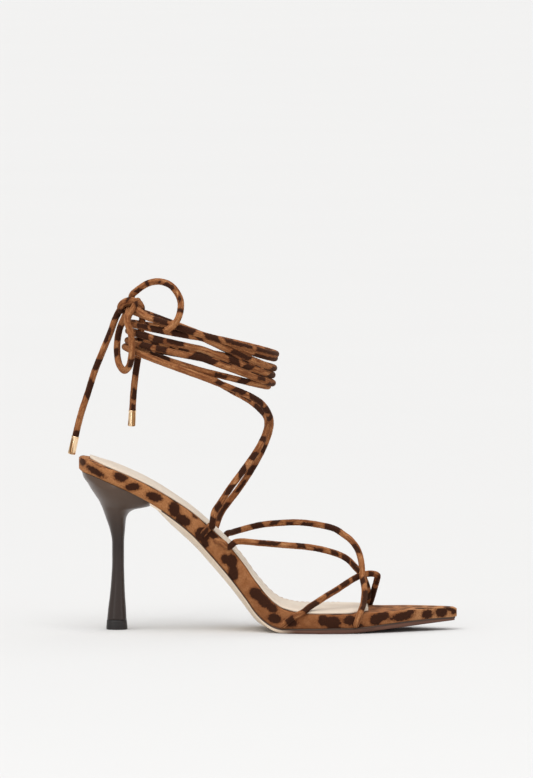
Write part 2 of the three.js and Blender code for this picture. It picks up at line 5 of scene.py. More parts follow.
import bpy
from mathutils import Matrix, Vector


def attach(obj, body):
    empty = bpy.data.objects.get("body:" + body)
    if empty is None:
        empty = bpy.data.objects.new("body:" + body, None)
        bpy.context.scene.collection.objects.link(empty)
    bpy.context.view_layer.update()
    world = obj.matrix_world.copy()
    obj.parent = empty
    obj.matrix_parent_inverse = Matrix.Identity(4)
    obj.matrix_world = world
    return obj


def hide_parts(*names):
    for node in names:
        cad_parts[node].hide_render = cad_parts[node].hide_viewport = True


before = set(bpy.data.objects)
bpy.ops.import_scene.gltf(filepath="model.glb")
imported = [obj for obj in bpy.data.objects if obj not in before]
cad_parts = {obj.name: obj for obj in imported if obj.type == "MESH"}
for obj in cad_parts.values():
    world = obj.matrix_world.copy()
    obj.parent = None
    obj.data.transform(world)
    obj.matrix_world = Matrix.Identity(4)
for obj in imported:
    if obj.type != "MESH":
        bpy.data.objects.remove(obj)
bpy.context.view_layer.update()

MM = 0.001

# The photograph's camera: a long lens far away, slightly above the shoe
CAMERA_DISTANCE = 6.0
CAMERA_PITCH = math.radians(3.3)
CAMERA_TARGET = Vector((-0.0009, 0.0, 0.1445))
VIEW = Vector((0, math.cos(CAMERA_PITCH), -math.sin(CAMERA_PITCH)))
METRES_PER_PIXEL = 0.0006  # at the shoe
PICTURE_HEIGHT = 778  # pixels
SENSOR_MM = 36.0
SHOE_MIDDLE = Vector((0, 0, 0.09))
FLOOR_REACH = 80  # metres from the shoe to the floor's sides
STRIP_HEIGHT = 1.6

# Sizes in millimetres, those of the large forms as in the frame's source
SHOE_LENGTH = 227.4
HEEL_RISE = 94.2
TOE_SPRING = 5.7
BALL_HALF_WIDTH = 38.5
SOLE_THICKNESS = 3.2
SIDE_HEIGHT = 20.4
CROWN_DROP = 5.5
SOLE_INSET = 0.9
SOLE_END = 0.993  # share of the shoe's length
SOLE_SWELL = 0.2  # of the dressed sole's edge
SOLE_BREAST = 46
SOLE_LAP = 3  # the dressed sole starts this far behind the breast
BREAST_FADE = 6  # length over which the sole's crown grows there
BOARD_REACH = (0.0012, 0.9985)  # shares of the shoe's length
BOARD_INSET = 0.5  # room for the belly of its side
# the painted groove shadow between the board and the sole
GROOVE_SHADE_START = 4  # in front of the breast
GROOVE_SHADE_END = 0.9945
GROOVE_SHADE_SWELL = 0.45
FOOTBED_DOME = 0.8
SOCK_THICKNESS = 1.3
SOCK_INSET = 1.8
SOCK_START = 7
SOCK_END = 173.7
SOCK_END_PINCH = 9  # its sides draw in this far at its ends
SOCK_END_LENGTH = 14  # over this length
STITCH_LENGTH = 2.1
STITCH_SPACING = 3.1
STITCH_WIDTH = 0.42
STITCH_INSET = 2.4  # from the sock's rim
STITCH_SEAT = 0.72  # share of the sock's thickness under the stitches
STITCH_SIDES = 6
STITCH_RUN = (90, 158)  # first and last millimetre from the heel, along the medial rim
HEEL_SEAT_LENGTH = 46
HEEL_SEAT_HALF_WIDTH = 26
HEEL_HEIGHT = 98
HEEL_TIP_HEIGHT = 5.7
HEEL_TIP_GAP = 0.25  # between the top-lift and the lacquered heel
HEEL_BACK = 0.6  # the heel's rearmost point, measured from the back
HEEL_SIDES = 64
HEEL_SQUARENESS = 0.8  # 1 for sections that are ellipses
STRAP_DIAMETER = 3.8
TIE_DIAMETER = 4.0
ANKLE_CENTRE_X = -39.3
ANKLE_HALF_LENGTH = 44.5
ANKLE_HALF_WIDTH = 30
KNOT_HEIGHT = 196
KNOT_CENTRE = (-82, -9, KNOT_HEIGHT)
KNOT_BAND_DIAMETER = 3.68  # pulled tight
KNOT_REACH = 4.2  # the free cords start this far from the knot's centre
LONG_TIP_LENGTH = 11
SHORT_TIP_LENGTH = 9.6
TIP_DIAMETER = 4.6
TIP_SIDES = 40
SEAM = 0.05  # a hair's gap between dressed pieces that touch
HEEL_LEVELS = 120  # steps between the heel's rings
TRIM_STEP = 0.003  # keeps the heel's trimmed rings from falling together
CORD_STEP = 0.7  # between two rings of a cord
CORD_SIDES = 20
CORD_WRINKLE = 0.025  # share of the radius
CORD_GRAIN_RADIUS = 1.9
CORD_GRAIN_STRETCH = 0.55  # under 1 draws it out along the cord
STATION_STEP = 1.0  # between two sections of the sole
STATION_LEAST = 0.35
END_MARGIN = 0.3  # no other section stands this near to an end
BOARD_GRAIN = 1.1  # longest edge of the printed board's sections
PROFILE_REACH = 17  # narrower halves of a section are squeezed
PROFILE_MIDDLE = 16.5  # a section's innermost point
CURVE_STEPS = 24  # straight pieces between two points of a route
SOLE_SHADE_FADE = (0.004, 0.02)  # metres from the origin, where the sole's edge turns brown as painted shade under the forefoot
HEEL_SHEEN_RISE = (0.05, 0.088)  # metres over the floor, where the heel is painted paler as a painted reflection on its flare

# Sections from the heel to the toe and from the floor up, in shares of the sizes above
SOLE_COLUMNS = ("along", "rise", "spring", "sole", "side", "crown", "lateral", "medial")
SOLE_SECTIONS = [
    (0.0012, 1.017, 0, 0.4, 0.28, 0, 0.12, 0.12), (0.0055, 1.009, 0, 0.4, 0.36, 0, 0.24, 0.24),
    (0.014, 0.997, 0, 0.4, 0.42, 0, 0.36, 0.36), (0.03, 0.986, 0, 0.4, 0.43, 0, 0.48, 0.48),
    (0.05, 0.968, 0, 0.4, 0.42, 0, 0.57, 0.57), (0.1, 0.917, 0, 0.4, 0.45, 0, 0.67, 0.66),
    (0.15, 0.862, 0, 0.4, 0.465, 0, 0.7, 0.67), (0.2, 0.794, 0, 0.4, 0.5, 0.25, 0.68, 0.605),
    (0.25, 0.709, 0, 0.4, 0.555, 0.85, 0.635, 0.505), (0.3, 0.607, 0, 0.4, 0.645, 1, 0.575, 0.445),
    (0.35, 0.474, 0, 0.4, 0.78, 1, 0.56, 0.43), (0.4, 0.332, 0, 0.42, 0.895, 1, 0.59, 0.46),
    (0.44, 0.204, 0, 0.46, 0.93, 1, 0.65, 0.535), (0.47, 0.103, 0, 0.51, 0.91, 0.8, 0.715, 0.615),
    (0.5, 0.036, 0, 0.66, 0.79, 0.35, 0.8, 0.72), (0.52, 0.01, 0, 0.76, 0.69, 0.1, 0.845, 0.765),
    (0.542, 0, 0, 0.82, 0.59, 0, 0.89, 0.81), (0.584, 0, 0, 0.88, 0.47, 0, 0.955, 0.915),
    (0.636, 0, 0, 0.94, 0.43, 0, 1, 1.008), (0.7, 0, 0, 1, 0.425, 0, 0.985, 0.97),
    (0.74, 0, 0.1, 0.91, 0.43, 0, 0.925, 0.86), (0.8, 0, 0.33, 0.91, 0.385, 0, 0.775, 0.655),
    (0.86, 0, 0.54, 0.93, 0.355, 0, 0.585, 0.47), (0.92, 0, 0.76, 0.82, 0.325, 0, 0.375, 0.285),
    (0.965, 0, 0.91, 0.66, 0.3, 0, 0.205, 0.15), (0.987, 0, 0.98, 0.56, 0.28, 0, 0.12, 0.09),
    (0.9985, 0, 1.05, 0.6, 0.2, 0, 0.06, 0.045),
]
HEEL_COLUMNS = ("height", "back", "front", "half")
HEEL_SECTIONS = [
    (0, 0.359, 0.639, 0.238), (0.058, 0.37, 0.625, 0.227), (0.13, 0.385, 0.618, 0.212),
    (0.2, 0.404, 0.607, 0.194), (0.3, 0.424, 0.598, 0.18), (0.42, 0.437, 0.593, 0.173),
    (0.535, 0.436, 0.594, 0.188), (0.607, 0.411, 0.605, 0.243), (0.68, 0.36, 0.62, 0.37),
    (0.717, 0.333, 0.66, 0.47), (0.74, 0.316, 0.74, 0.55), (0.758, 0.3, 0.93, 0.63),
    (0.79, 0.268, 1, 0.76), (0.83, 0.213, 1, 0.88), (0.865, 0.163, 1, 0.95), (0.9, 0.12, 1, 1),
    (0.94, 0.062, 1, 1), (1, 0.03, 1, 1),
]
SOLE_ROWS = [dict(zip(SOLE_COLUMNS, row)) for row in SOLE_SECTIONS]
HEEL_ROWS = [dict(zip(HEEL_COLUMNS, row)) for row in HEEL_SECTIONS]
# Each quarter turn round the ankle: share of the knot's height, and tie diameters outside the ring
FAR_FIRST_TURNS = [
    (0.7745, 0), (0.866, -0.4), (0.8005, -0.4), (0.7464, -1.3), (0.8296, 0), (0.9158, 0), (0.8668, 0),
    (0.7801, -0.65), (0.8852, 0), (0.9821, -0.1), (0.9056, -0.4), (0.8321, -0.3), (0.8944, 0.2), (0.985, 0),
]
NEAR_FIRST_TURNS = [
    (0.7837, 0.4), (0.8668, 0.5), (0.8219, 0.2), (0.7556, -0.6), (0.8398, 0.1), (0.8862, 0.1), (0.8439, 0.1),
    (0.8015, -0.4), (0.9015, 0.1), (0.9403, 0), (0.8923, 0.3), (0.8444, -0.1), (0.9117, 0.5), (0.985, 0.5),
]
TURN_POINTS = 12  # points in a quarter turn

# Where the straps and ties cross the board's edge: side, shares of the shoe's length at the top and low
# down, height over the edge and depth of the lower end as shares of the side's height
EDGE_CROSSINGS = {
    "far_waist_start": ("far", 0.3892, 0.376, 0.12, 1),
    "far_waist_end": ("near", 0.7432, 0.73, 0.12, 1),
    "near_waist_start": ("near", 0.3958, 0.362, -0.05, 0.3),
    "near_waist_end": ("far", 0.7586, 0.7564, 0.12, 1),
    "near_ball_start": ("near", 0.5937, 0.5321, 0.12, 1),
    "near_ball_end": ("far", 0.7696, 0.7718, 0.12, 1),
    "near_tie_start": ("near", 0.349, 0.329, 0.12, 0.55),
    "far_tie_start": ("far", 0.3628, 0.343, 0.12, 1),
}

# Routes of the straps and ties, the points of the frame's source, in millimetres
FAR_WAIST_STRAP = [
    (-21.4, 22.2, 56.7), (-16.9, 26, 57.8), (-4.8, 26.7, 60.8), (7.2, 23, 62.3), (19.3, 16, 63.1),
    (31.3, 9.2, 62), (40.3, 5.6, 59.9), (46.3, 3.3, 56.1), (49.3, 1.8, 53.9), (53.4, -1.5, 48.9),
    (55.8, -7, 41.9), (56.6, -12.6, 33), (57.8, -20, 25.1), (57, -28, 17.6),
]
NEAR_WAIST_STRAP = [
    (-19.1, -24.4, 54.3), (-4.8, -23.6, 53.6), (9.6, -20, 52.1), (24, -16, 50.6), (33.6, -13, 48.6),
    (43.2, -10.5, 45.4), (48, -10, 42.6), (51.8, -10, 38.7), (56.8, -9, 32.7), (60, 1, 23.4),
    (60.2, 13, 17.2), (59.6, 24, 14),
]
NEAR_BALL_STRAP = [
    (24.3, -34.5, 15.7), (29.3, -30, 18.6), (35, -25, 21.9), (41, -20, 25.1), (46.4, -16, 28.4),
    (52.2, -12.4, 31.7), (57, -10.2, 33.6), (62.4, -9, 34.1), (65.6, -7.5, 33), (65.3, -4.5, 30),
    (64.2, 2, 25.2), (62.8, 11, 19.2), (61.6, 22, 14.4),
]
NEAR_RISER = [
    (-33.6, -22.6, 63.2), (-32, -24, 72.2), (-28.1, -25.4, 78.3), (-23, -25.6, 86.1),
    (-15.1, -23, 96.7), (-7.5, -17, 107.1), (-4.3, -13, 112.3), (-1.8, -8, 117.3), (-0.3, -2, 122.4),
    (-0.9, 5, 127.4), (-4.5, 11.5, 131.5), (-9.3, 17, 135.4), (-14.4, 21.5, 138.4), (-19.9, 25, 141.1),
]
FAR_RISER = [
    (-30.2, 19.6, 64), (-28, 23.6, 68.9), (-23.8, 26, 74.7), (-17.8, 27, 82.5), (-10.5, 24.5, 93.6),
    (-4.4, 17, 104.9), (-1.9, 13, 110.6), (0.1, 8, 116.3), (1.4, 2, 122.1), (1.2, -4.5, 127.3),
    (-0.9, -10.5, 132.5), (-4.2, -15.5, 136.9), (-9, -20, 140.4), (-14.3, -23.5, 143.2),
    (-19.4, -26, 145.4),
]
TOP_LOOP = [
    KNOT_CENTRE, (-81.4, -10.5, 201.3), (-79.1, -12, 203.7), (-71.9, -15, 208.6),
    (-64.7, -18.5, 209.9), (-57.8, -22.5, 207.5), (-52.7, -27, 200.4), (-52.1, -30.5, 194.4),
    (-54.2, -34.6, 187.5), (-57.7, -34.9, 183.3), (-60.8, -34.6, 181.4),
]
HANGING_LOOP = [
    KNOT_CENTRE, (-86.2, -9.6, 187.6), (-89.2, -6.4, 179.7), (-90.4, -5, 171.8),
    (-90.3, -5.4, 165.2), (-89, -8.2, 159.5), (-86, -13.2, 156.3), (-83, -18.6, 159.4),
    (-81.7, -21.4, 164.9), (-81.3, -21.8, 171.5), (-82, -20.6, 179.2), (-84.3, -18.2, 186.4),
    KNOT_CENTRE,
]
LONG_END = [
    KNOT_CENTRE, (-87.5, -5.5, 193.6), (-91, -4.8, 188), (-94.2, -4.2, 179.3), (-99.3, -3, 166.9),
    (-103.9, -1.5, 155.4), (-108.1, -0.5, 142.1), (-111.7, 0, 131.3), (-114.2, 0, 122),
    (-115.6, 0, 115.9),
]
SHORT_END = [
    KNOT_CENTRE, (-77.4, -6, 196.6), (-75.4, -4, 190), (-76.4, -3, 177), (-77.8, -3, 164.4),
    (-79.3, -3, 154.5), (-80.6, -3, 142.9), (-81.3, -3, 131.8),
]
# The knot's own cord and the band that crosses its front, round the knot's centre
KNOT_TURNS = [
    (-5.6, 0.4, -4.4), (-6.4, -2.6, -1.6), (-4.4, -4.8, 1.2), (-1, -5.6, 2.4), (2.6, -5, 1.9),
    (5.4, -3, -0.4), (6.2, 0.2, -2.6), (3.2, 2.6, -3.2), (-1, 3.2, -1.6), (-2.4, 1, 1.4),
    (0.6, -1.6, 2.2),
]
KNOT_BAND = [
    (4.6, 1.6, 0.4), (4, -2.4, 2.2), (2.8, -6.2, 0.4), (1.2, -7.4, -2.6), (-0.6, -7.2, -5.6),
    (-2, -7.6, -8.6),
]

# Dark bands charted along the cords, first and last millimetre of each
CORD_BANDS = {
    "strap_far_waist": [
        (18, 31.5), (39, 46.5), (51, 56.5), (62.5, 67.5), (73.5, 81.5), (88.5, 98.5), (111, 118.5),
        (135.5, 140.5), (146, 163.5),
    ],
    "strap_near_waist": [
        (12.5, 19), (32.5, 45), (56.5, 61.5), (67, 73), (78, 83), (85.5, 91.5), (92.5, 101), (108, 113),
        (118, 128),
    ],
    "strap_near_ball": [
        (9, 14.5), (21, 32.5), (40, 50.5), (52.5, 59.5), (62, 68.5), (73.5, 76.5), (79, 86.5), (90.5, 113),
    ],
    "tie_from_near_side": [
        (0, 9), (11, 19.5), (24.5, 30), (35, 42.5), (48.5, 55.5), (61, 67), (75, 79), (238.5, 251.5),
        (278.5, 286), (294, 300.5), (459, 469.5), (472.5, 479.5), (481.5, 492), (520, 527), (530, 536),
        (550, 562), (712, 724), (778, 803),
    ],
    "tie_from_far_side": [
        (18.5, 35), (43, 53), (56.5, 65), (76, 83), (106, 111), (112.5, 119), (121, 133), (136.5, 144.5),
        (151.5, 156.5), (352, 362.5), (366, 372.5), (400.5, 416), (430.5, 437.5), (440.5, 448.5),
        (587.5, 599), (617, 630), (649, 652.5), (657.5, 667.5), (672.5, 681), (682.5, 691), (830, 855.5),
        (858, 876), (880, 889), (895, 906), (912, 921),
    ],
    "bow_loop_top_cord": [(5, 9), (13.5, 15.5), (23, 24.5), (27, 35), (40.5, 44), (49, 51.5)],
    "bow_loop_hanging_cord": [(0, 2), (9.5, 20), (24.5, 30), (50, 55)],
    "tie_end_long_cord": [(3.5, 10), (16.5, 26.5), (36, 43), (49.5, 60.5), (81.5, 86)],
    "tie_end_short_cord": [(6, 12), (20, 27), (36, 46), (54, 60.5), (63.5, 67.5)],
    "knot_cord": [(0, 4), (10, 12), (22, 34), (44, 50)],
    "knot_band": [(0, 3), (8, 10.5)],
}
BAND_REACH = (1.0, 2.6)  # least and most half width of a band across the cord
BAND_SHIFT = (-0.9, 0.9)  # of its middle to the side
BAND_SLANT = (-1, 1)  # of its ends, as a slope
BAND_LENGTHS = (5, 13)  # of the scattered bands
BAND_GAPS = (3, 8)
HIDDEN_DEPTH = 4  # bands are scattered where a tie runs farther back

# Dark spots charted on the lateral side, in millimetres of the side view: towards the toe from the
# frame's origin, height, half length, half height, and tilt in degrees, nose up positive
SIDE_SPOTS = [
    (-111, 101.5, 1.8, 2.4, 0), (-105, 103.5, 3.9, 0.7, -8), (-103.5, 96.5, 6, 1.8, -30),
    (-98.5, 100, 3.9, 0.8, -10), (-88, 93.5, 4.2, 2.9, -15), (-81, 87.5, 4.6, 2.2, 5),
    (-68, 81.5, 4.8, 2.5, -18), (-63.5, 84, 4.2, 0.8, -30), (-56, 74, 3.3, 4.6, 10),
    (-50.8, 67.2, 4.8, 2.9, -28), (-43, 69.5, 2.1, 1.3, -20), (-39, 58.5, 4.6, 4.4, -20),
    (-32.5, 58.5, 3.3, 2.7, -30), (-37.5, 53, 2.4, 2.4, -30), (-25.8, 44, 2.4, 2.9, 0),
    (-21.8, 42.8, 3.2, 4.2, -10), (-20.8, 35.4, 3, 4.9, 0), (-7, 23.4, 4.4, 3.6, -30),
    (-2, 19, 3.9, 3.6, -35), (2.4, 15.4, 3.6, 2.6, -30), (4, 9, 4.2, 2.7, -10), (13.5, 6.5, 4.2, 2.4, 0),
    (33, 8.5, 3, 3.6, 0), (38.5, 7.2, 5, 3.7, 0), (39.5, 3, 4.3, 2.6, 0), (49, 8.3, 4.1, 2.9, 0),
    (54, 5, 3, 1.5, 0), (64.5, 8.3, 3.6, 3.4, 0), (68.5, 10.3, 4, 2.8, 0), (74.5, 8.5, 2.4, 0.9, 10),
    (80.5, 9.5, 6.3, 2.5, 8), (85, 12, 2.7, 1.8, 10), (95.5, 10, 3.3, 2.7, 5), (104, 11, 3.6, 3, 0),
    (109, 12.5, 2.4, 1.2, 0), (111.5, 11, 1.5, 1.8, 0),
]
# Scattered spots of the footbed seen from above, over its whole length
TOP_SPOT_SPACING = 8.5  # between neighbouring spots along and across
TOP_SPOT_SIZES = (2.1, 3.7)  # least and most half length
TOP_SPOT_ROWS = 5  # rows of spots on each side of the middle
TOP_EDGE = 0.02  # share of the side's height, below the top, where the plan's spots end
FAR_SPOT_SHIFT = (7.5, -1.5)  # from the near side's spots to the far side's
PRINT_LIMIT = 3.0  # greatest distance from a spot's edge in the print
PRINT_MARGIN = 4  # reach of a spot's print outside its edge

# Colours: pairs run from one end of a material's clouds to the other
TAN = (0.315, 0.118, 0.04, 1)
TAN_LIGHT = (0.43, 0.185, 0.073, 1)
TAN_HEEL = (0.45, 0.195, 0.073, 1)
TAN_BRIGHT = (0.56, 0.29, 0.13, 1)
RUST = (0.15, 0.046, 0.015, 1)
CHOCOLATE = (0.031, 0.0088, 0.0032, 1)
CHOCOLATE_WARM = (0.066, 0.019, 0.0075, 1)
SOLE_PALE = ((0.86, 0.71, 0.55, 1), (0.79, 0.63, 0.47, 1))
# painted shade on the sole's edge under the forefoot
SOLE_SHADE_BROWN = ((0.135, 0.054, 0.031, 1), (0.09, 0.036, 0.022, 1))
HEEL_LACQUER = ((0.022, 0.0132, 0.0112, 1), (0.032, 0.0205, 0.017, 1))
# painted reflection on the heel's flare
HEEL_SHEEN_BROWN = (0.088, 0.052, 0.034, 1)
LIFT_BLACK = ((0.01, 0.0075, 0.007, 1), (0.045, 0.036, 0.032, 1))
# its dark end is painted reflection
GOLD = ((0.34, 0.17, 0.065, 1), (0.96, 0.7, 0.44, 1))
SOCK_BEIGE = ((0.70, 0.605, 0.495, 1), (0.65, 0.54, 0.43, 1))
THREAD = ((0.52, 0.33, 0.23, 1), (0.44, 0.26, 0.17, 1))
# painted shadow in the groove between the board and the sole
GROOVE_SHADE_BROWN = ((0.05, 0.026, 0.016, 1), (0.09, 0.045, 0.026, 1))
FLOOR_GREY = ((0.668, 0.667, 0.664, 1), (0.678, 0.677, 0.674, 1))
CLOUD_RANGE = (0.35, 0.7)  # of a noise, from a pair's first colour to its second


def row_at(table, place, key):
    """Values of a table at one place, on smooth curves that never overshoot their rows."""
    last = len(table) - 2
    i = next(n for n in range(last + 1) if n == last or place <= table[n + 1][key])
    span = table[i + 1][key] - table[i][key]
    t = min(max((place - table[i][key]) / span, 0), 1)

    def slope(n, name):
        near = table[max(n - 1, 0) : n + 2]
        rises = [(b[name] - a[name]) / (b[key] - a[key]) for a, b in zip(near, near[1:])]
        left, right = rises[0], rises[-1]
        if len(rises) == 1:
            return left
        return 0 if left * right <= 0 else 2 * left * right / (left + right)

    row = {key: place}
    for name in table[0].keys() - {key}:
        a, b = table[i][name], table[i + 1][name]
        m0, m1 = slope(i, name) * span, slope(i + 1, name) * span
        row[name] = a + m0 * t + (3 * (b - a) - 2 * m0 - m1) * t**2 + (2 * (a - b) + m0 + m1) * t**3
    return row


def sole_at(distance):
    """The sole's real sizes at a distance from the back of the shoe."""
    row = row_at(SOLE_ROWS, distance / SHOE_LENGTH, "along")
    tread = HEEL_RISE * row["rise"] + TOE_SPRING * row["spring"]
    low = tread + SOLE_THICKNESS * row["sole"]
    return {
        "along": distance,
        "x": distance - SHOE_LENGTH / 2,
        "tread": tread,
        "low": low,
        "top": low + SIDE_HEIGHT * row["side"],
        "crown": CROWN_DROP * row["crown"],
        "lateral": -BALL_HALF_WIDTH * row["lateral"],
        "medial": BALL_HALF_WIDTH * row["medial"],
    }


def stations(start, end):
    """Sections of the sole: close together, with the ends and the rounded heel closer."""
    close = [row["along"] * SHOE_LENGTH for row in SOLE_ROWS[:5] + SOLE_ROWS[-3:]]
    count = int((end - start) / STATION_STEP)
    even = [start + (end - start) * n / count for n in range(1, count)]
    inside = sorted(d for d in close + even if start + END_MARGIN < d < end - END_MARGIN)
    kept = [start]
    for distance in inside:
        if distance - kept[-1] > STATION_LEAST:
            kept.append(distance)
    return [sole_at(distance) for distance in kept + [end]]


# Curves

def catmull(points, step):
    """Evenly spaced points on the centripetal curve through the points."""
    pts = [Vector(p) for p in points]
    ends = [pts[0] * 2 - pts[1]] + pts + [pts[-1] * 2 - pts[-2]]
    fine = []
    for i in range(1, len(ends) - 2):
        p0, p1, p2, p3 = ends[i - 1 : i + 3]
        d0, d1, d2 = (max((a - b).length ** 0.5, 1e-4) for a, b in ((p0, p1), (p1, p2), (p2, p3)))
        t1 = ((p1 - p0) / d0 - (p2 - p0) / (d0 + d1) + (p2 - p1) / d1) * d1
        t2 = ((p2 - p1) / d1 - (p3 - p1) / (d1 + d2) + (p3 - p2) / d2) * d1
        for n in range(CURVE_STEPS):
            t = n / CURVE_STEPS
            a = 2 * p1 - 2 * p2 + t1 + t2
            b = -3 * p1 + 3 * p2 - 2 * t1 - t2
            fine.append(a * t**3 + b * t**2 + t1 * t + p1)
    fine.append(pts[-1])
    return spaced(fine, step)


def spaced(points, step):
    """Points at even distances along a row of points."""
    steps = [(b - a).length for a, b in zip(points, points[1:])]
    total = sum(steps)
    count = max(int(round(total / step)), 2)
    out, i, gone = [points[0]], 0, 0.0
    for n in range(1, count):
        want = total * n / count
        while gone + steps[i] < want:
            gone += steps[i]
            i += 1
        out.append(points[i].lerp(points[i + 1], (want - gone) / steps[i]))
    return out + [points[-1]]


def anchor(name):
    """Points that take a cord over the edge of the board, down its side and into it."""
    side, top, low, over, deep = EDGE_CROSSINGS[name]

    def point(share, drop, outward):
        here = sole_at((top + share * (low - top)) * SHOE_LENGTH)
        edge = here["lateral"] - outward if side == "near" else here["medial"] + outward
        foot = here["low"] + 0.5 * TIE_DIAMETER + 0.3
        return (here["x"], edge, max(here["top"] - drop * (here["top"] - here["low"]), foot))

    return [
        point(0, -over, -0.4), point(0.5, 0.35 * deep, 0.5), point(0.9, 0.8 * deep, -0.3), point(1, deep, -5),
    ]


def turns(table, direction, quarters):
    """The first quarters of one tie's turns round the ankle, each straight in the side view."""
    points = []
    for n in range(int(quarters * TURN_POINTS) + 1):
        place = n / TURN_POINTS
        quarter = min(int(place), len(table) - 2)
        part = (place - quarter) * math.pi / 2
        eased = 1 - math.cos(part) if quarter % 2 else math.sin(part)
        height, out = (a + eased * (b - a) for a, b in zip(table[quarter], table[quarter + 1]))
        angle = (1 + place) * math.pi / 2
        points.append((
            ANKLE_CENTRE_X + (ANKLE_HALF_LENGTH + out * TIE_DIAMETER) * math.cos(angle),
            direction * (ANKLE_HALF_WIDTH + out * TIE_DIAMETER) * math.sin(angle),
            height * KNOT_HEIGHT,
        ))
    return points


# Objects and meshes

def new_object(name, data):
    """An object of the scene."""
    obj = bpy.data.objects.new(name, data)
    bpy.context.scene.collection.objects.link(obj)
    return obj


def aim(obj, direction):
    """Points a camera or a light."""
    obj.rotation_mode = "QUATERNION"
    obj.rotation_quaternion = Vector(direction).to_track_quat("-Z", "Y")


def piece(name, points, faces, material, replaces, slot, uvs=None, printed=None):
    """One smooth mesh piece from points in millimetres, riding with the shoe."""
    mesh = bpy.data.meshes.new(name)
    mesh.from_pydata([Vector(p) * MM for p in points], [], faces)
    mesh.update()
    if uvs:
        layer = mesh.uv_layers.new(name="UVMap")
        for loop in mesh.loops:
            layer.data[loop.index].uv = uvs[loop.vertex_index]
    if printed:
        mesh.attributes.new("print", "FLOAT", "POINT").data.foreach_set("value", printed)
    mesh.shade_smooth()
    mesh.materials.append(material)
    obj = new_object(name, mesh)
    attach(obj, "root")
    if replaces:
        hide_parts(*replaces)
    return obj


def loft(rings):
    """Points and quads through rings of points, with fans over both ends."""
    count = len(rings[0])
    points = [p for ring in rings for p in ring]
    faces = []
    for r in range(len(rings) - 1):
        for i in range(count):
            j = (i + 1) % count
            faces.append((r * count + i, r * count + j, (r + 1) * count + j, (r + 1) * count + i))
    for r, flip in ((0, True), (len(rings) - 1, False)):
        ring = rings[r]
        points.append(tuple(sum(p[k] for p in ring) / count for k in range(3)))
        for i in range(count):
            a, b = r * count + i, r * count + (i + 1) % count
            faces.append((b, a, len(points) - 1) if flip else (a, b, len(points) - 1))
    return points, faces


def circle(centre, side, other, radius, count):
    """Points round a centre, in the plane of two unit vectors."""
    angles = (2 * math.pi * n / count for n in range(count))
    return [centre + radius * (math.cos(a) * side + math.sin(a) * other) for a in angles]


def band_print(gone, across, bands):
    """Millimetres inside the nearest dark band, negative outside."""
    inside = -PRINT_LIMIT
    for start, end, side, reach, slant in bands:
        along = gone + slant * across
        inside = max(inside, min(along - start, end - along, reach - abs(across - side)))
    return min(inside, PRINT_LIMIT)


def tube(path, radius, bands):
    """A tube round evenly spaced points, with UVs of [turn, millimetres along] and its print."""
    last = len(path) - 1
    tangents = [(path[min(i + 1, last)] - path[max(i - 1, 0)]).normalized() for i in range(last + 1)]
    normal = tangents[0].orthogonal().normalized()
    rings, uvs, printed, gone = [], [], [], 0.0
    for i, (point, tangent) in enumerate(zip(path, tangents)):
        if i:
            gone += (point - path[i - 1]).length
            normal = tangents[i - 1].rotation_difference(tangent) @ normal
        other = tangent.cross(normal)
        sideways = tangent.cross(VIEW).normalized()
        near = [band for band in bands if band[0] - PRINT_MARGIN < gone < band[1] + PRINT_MARGIN]
        ring = []
        for n in range(CORD_SIDES):
            angle = 2 * math.pi * n / CORD_SIDES
            r = radius * (1 + CORD_WRINKLE * math.sin(3 * angle + gone * 0.9) * math.sin(gone * 1.7 + angle))
            out = math.cos(angle) * normal + math.sin(angle) * other
            ring.append(point + r * out)
            uvs.append((n / CORD_SIDES, gone))
            printed.append(band_print(gone, radius * out.dot(sideways), near))
        rings.append(ring)
    points, faces = loft(rings)
    return points, faces, uvs + [(0.5, 0.0), (0.5, gone)], printed + [printed[0], printed[-1]]


def cord_bands(name, path):
    """The cord's charted bands and scattered ones where it runs behind, each with its own set."""
    chance = random.Random(name)
    bands, least = list(CORD_BANDS[name]), BAND_GAPS[0]
    if name.startswith("tie_from"):
        gone, hidden = 0.0, []
        for before, point in zip(path, path[1:]):
            gone += (point - before).length
            if point.y > HIDDEN_DEPTH:
                hidden.append(gone)
        place = 0.0
        while place < gone:
            length = chance.uniform(*BAND_LENGTHS)
            middle = place + length / 2
            free = all(place > end + least or place + length < start - least for start, end in bands)
            if free and any(abs(middle - h) < 1 for h in hidden):
                bands.append((place, place + length))
            place += length + chance.uniform(*BAND_GAPS)
    draws = (BAND_SHIFT, BAND_REACH, BAND_SLANT)
    return [(*band, *(chance.uniform(*limits) for limits in draws)) for band in bands]


def section(at, inset, profile):
    """A closed section of the sole from one profile: offsets in from both edges, and heights."""
    lateral = at["lateral"] + inset
    medial = at["medial"] - inset
    scale = min((medial - lateral) / (2 * PROFILE_REACH), 1)
    left = [(at["x"], lateral + offset * scale, height) for offset, height in profile]
    right = [(at["x"], medial - offset * scale, height) for offset, height in profile]
    return left + right[::-1]


# Materials

